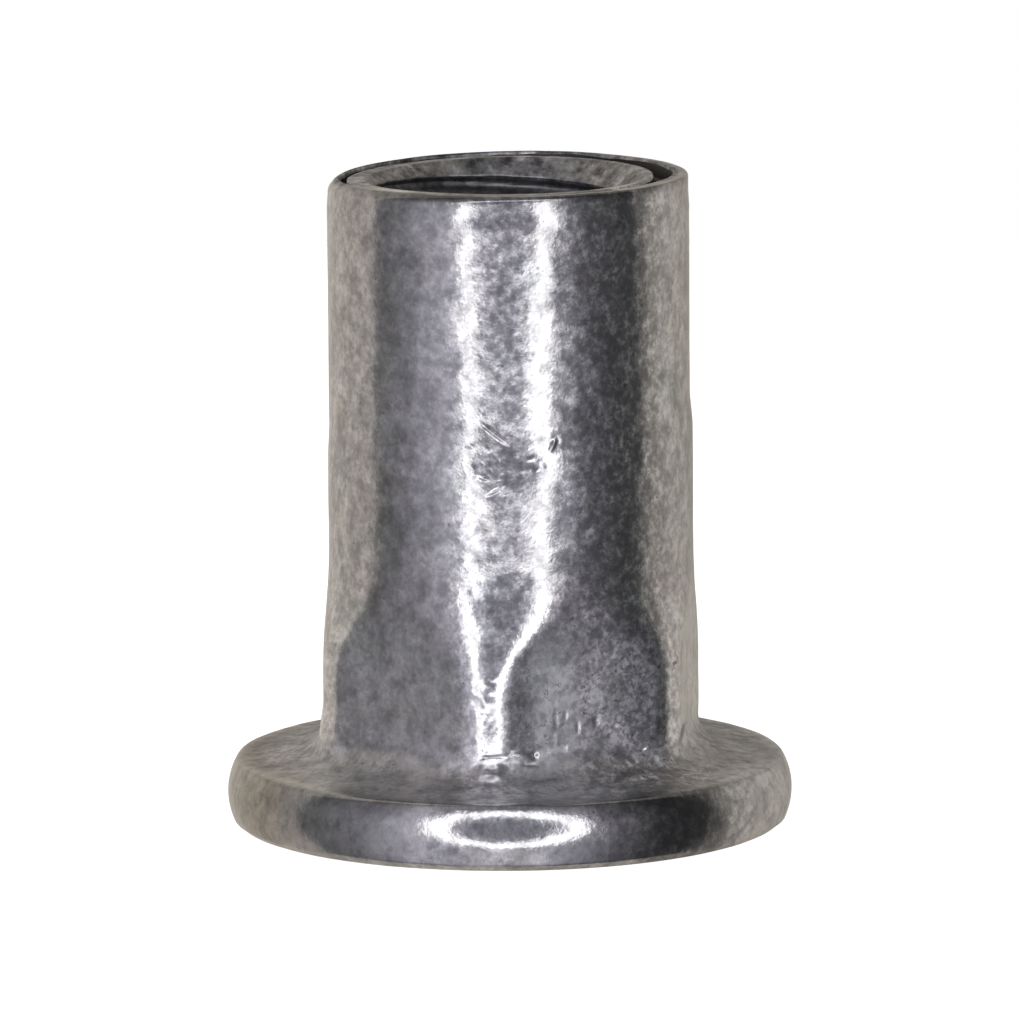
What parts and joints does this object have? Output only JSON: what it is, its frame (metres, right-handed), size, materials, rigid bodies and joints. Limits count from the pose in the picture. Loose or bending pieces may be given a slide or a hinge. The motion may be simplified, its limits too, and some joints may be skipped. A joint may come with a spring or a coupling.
{
  "type": "rivet nut",
  "caption": "Half-hex rivet nut: round open-ended shank with a hex root, wide flat head, folding chamber and internal thread.",
  "frame": {"origin": "centre of the head's flat outer face, on the nut's axis", "axes": "+Z along the nut's axis from the head to the open threaded end; two of the hex's corners lie on the Y axis"},
  "size_m": [0.011, 0.011, 0.0127],
  "materials": {
    "zinc_steel": "worn satin zinc plate, scuffed and darkened in its pits"
  },
  "bodies": {
    "root": {"rivet_nut": "zinc_steel"}
  },
  "joints": []
}
